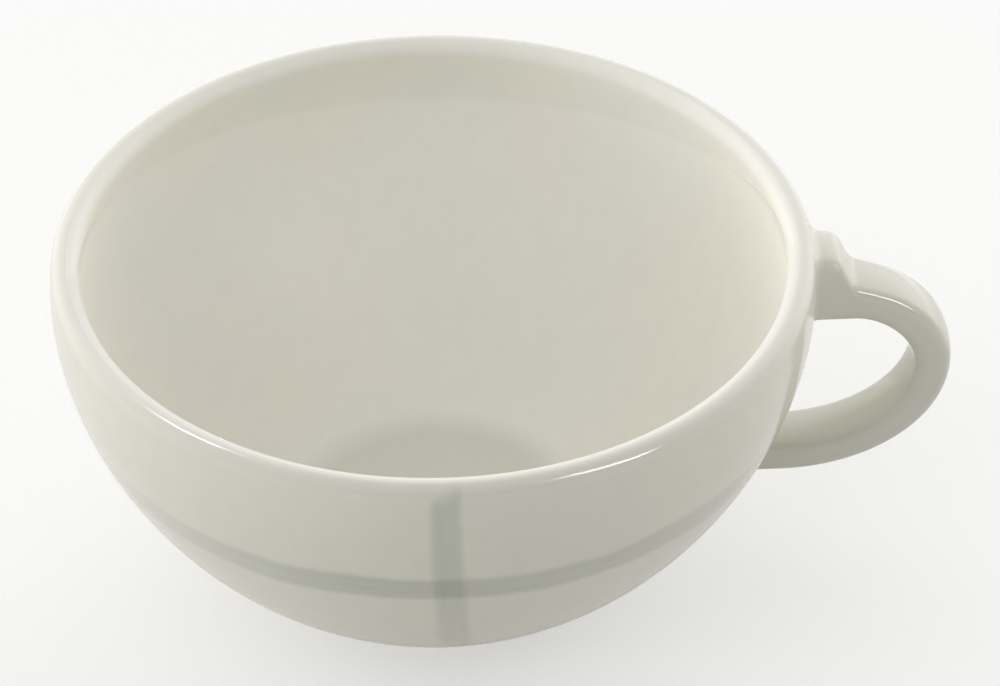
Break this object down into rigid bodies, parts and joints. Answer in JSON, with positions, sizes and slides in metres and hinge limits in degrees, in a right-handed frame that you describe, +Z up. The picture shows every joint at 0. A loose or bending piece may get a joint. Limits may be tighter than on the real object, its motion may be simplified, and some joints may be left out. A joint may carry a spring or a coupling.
{
  "type": "espresso cup",
  "caption": "Low wide rounded glazed ceramic espresso cup on a foot ring, with a flat strap handle that grows out of a raised thumb lug near the lip.",
  "frame": {"origin": "middle of the cup's box on the plane the foot stands on; the bowl's axis is at x = -0.0074", "axes": "+X towards the handle, +Z up through the mouth, +Y completes a right-handed frame"},
  "size_m": [0.0948, 0.08, 0.0405],
  "materials": {
    "ivory_glaze": "glossy ivory grey glaze with soft grey-green brushed stripes",
    "bare_clay": "bare fired clay on the standing face, glazed on its sides"
  },
  "bodies": {
    "root": {"bowl": "ivory_glaze", "foot_ring": "bare_clay", "handle_loop": "ivory_glaze", "handle_lug": "ivory_glaze", "upper_slip_joint": "ivory_glaze", "lower_slip_joint": "ivory_glaze"}
  },
  "joints": []
}
